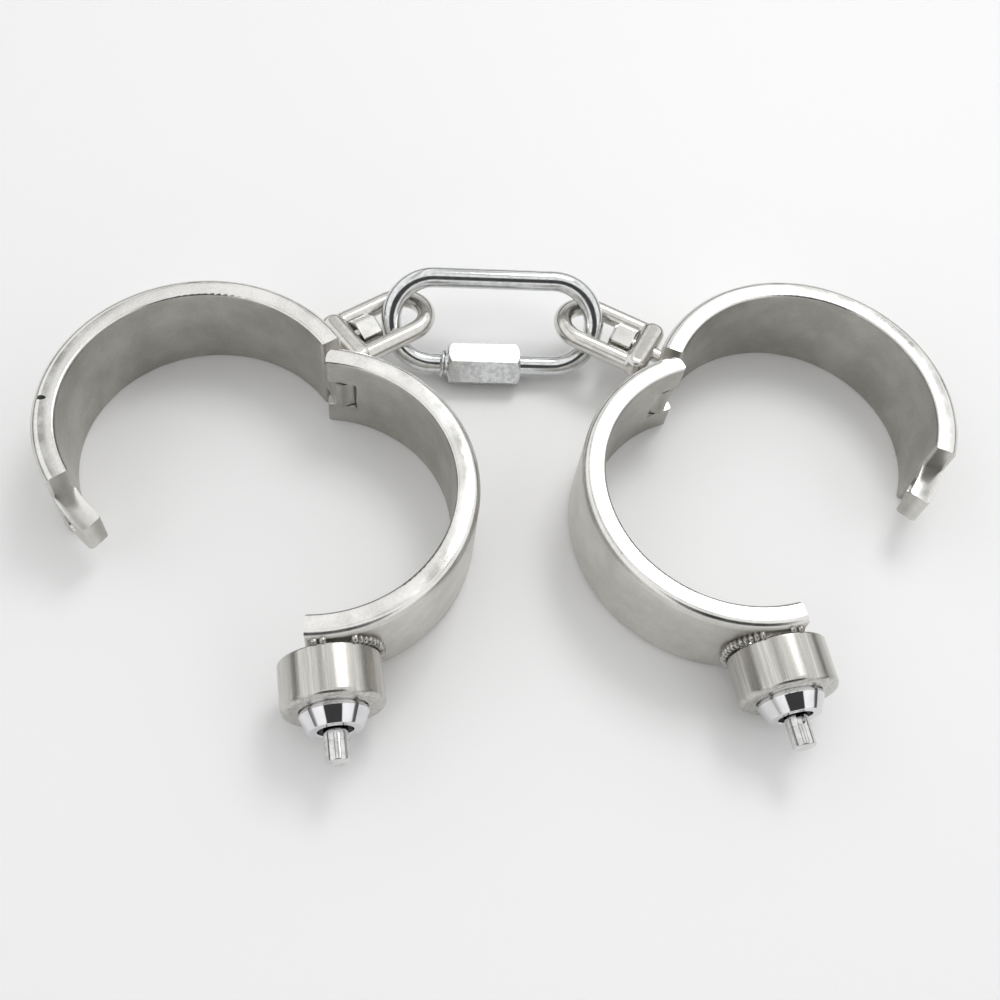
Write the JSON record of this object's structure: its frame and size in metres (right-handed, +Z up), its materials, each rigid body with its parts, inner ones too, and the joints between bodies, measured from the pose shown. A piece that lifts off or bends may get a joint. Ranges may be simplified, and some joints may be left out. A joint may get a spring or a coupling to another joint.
{
  "type": "handcuffs",
  "caption": "Heavy hinged handcuffs with push-button barrel locks, swivel bows and a screw-gate connecting link, lying open.",
  "frame": {"origin": "on the table under the middle of the pair's box", "axes": "+X from the left cuff to the right cuff, +Y towards the connecting link, +Z up from the table"},
  "size_m": [0.2054, 0.1187, 0.023],
  "materials": {
    "cuff_steel": "satin bead-blasted walls with polished rims",
    "pin_steel": "ground",
    "swivel_steel": "tumbled and polished",
    "housing_steel": "turned, fine brushed",
    "bezel_chrome": "mirror polish",
    "barrel_steel": "turned, dark",
    "plunger_chrome": "bright turned",
    "spring_steel": "drawn wire",
    "weld_metal": "as welded",
    "link_zinc": "bright zinc plate",
    "nut_zinc": "mottled zinc plate"
  },
  "bodies": {
    "link": {"link_rod": "link_zinc"},
    "gate": {"link_nut": "nut_zinc"},
    "left_bow": {"left_swivel_bow": "swivel_steel"},
    "left_cuff": {"left_tongue_half": "cuff_steel", "left_swivel_stud": "swivel_steel"},
    "left_lock": {"left_lock_half": "cuff_steel", "left_hinge_pin": "pin_steel", "left_lock_housing": "housing_steel", "left_lock_bezel": "bezel_chrome", "left_lock_barrel": "barrel_steel", "left_bolt_spring": "spring_steel", "left_weld_bead": "weld_metal", "left_weld_tacks": "weld_metal"},
    "left_button": {"left_plunger": "plunger_chrome", "left_lock_bolt": "pin_steel"},
    "right_bow": {"right_swivel_bow": "swivel_steel"},
    "right_cuff": {"right_tongue_half": "cuff_steel", "right_swivel_stud": "swivel_steel"},
    "right_lock": {"right_lock_half": "cuff_steel", "right_hinge_pin": "pin_steel", "right_lock_housing": "housing_steel", "right_lock_bezel": "bezel_chrome", "right_lock_barrel": "barrel_steel", "right_bolt_spring": "spring_steel", "right_weld_bead": "weld_metal", "right_weld_tacks": "weld_metal"},
    "right_button": {"right_plunger": "plunger_chrome", "right_lock_bolt": "pin_steel"}
  },
  "joints": [
    {"name": "gate_slide", "type": "slide", "parent": "link", "child": "gate", "axis": [1, 0, 0], "range_m": [0, 0.0074]},
    {"name": "left_bow_swing", "type": "hinge", "parent": "link", "child": "left_bow", "pos_m": [-0.0264, 0.04925, 0.01142], "axis": [0, 0.5, 0.866], "range_deg": [-60, 20]},
    {"name": "left_swivel", "type": "hinge", "parent": "left_bow", "child": "left_cuff", "pos_m": [-0.04181, 0.03946, 0.0115], "axis": [0.8387, 0.5446, 0], "continuous": true},
    {"name": "left_hinge", "type": "hinge", "parent": "left_cuff", "child": "left_lock", "pos_m": [-0.0381, 0.0295, 0.0115], "axis": [0, 0, 1], "range_deg": [-55.7, 0.3]},
    {"name": "left_button_slide", "type": "slide", "parent": "left_lock", "child": "left_button", "axis": [-0.1246, 0.9922, 0], "range_m": [0, 0.0055], "stiffness_N_per_m": 300, "springref_m": -0.003, "deforming": ["left_bolt_spring"]},
    {"name": "right_bow_swing", "type": "hinge", "parent": "link", "child": "right_bow", "pos_m": [0.021, 0.04925, 0.01142], "axis": [0, 0.5, 0.866], "range_deg": [-20, 60]},
    {"name": "right_swivel", "type": "hinge", "parent": "right_bow", "child": "right_cuff", "pos_m": [0.03794, 0.03996, 0.0115], "axis": [-0.8796, 0.4756, 0], "continuous": true},
    {"name": "right_hinge", "type": "hinge", "parent": "right_cuff", "child": "right_lock", "pos_m": [0.03605, 0.0295, 0.0115], "axis": [0, 0, 1], "range_deg": [-5.5, 50.5]},
    {"name": "right_button_slide", "type": "slide", "parent": "right_lock", "child": "right_button", "axis": [-0.1434, 0.9897, 0], "range_m": [0, 0.0055], "stiffness_N_per_m": 300, "springref_m": -0.003, "deforming": ["right_bolt_spring"]}
  ]
}
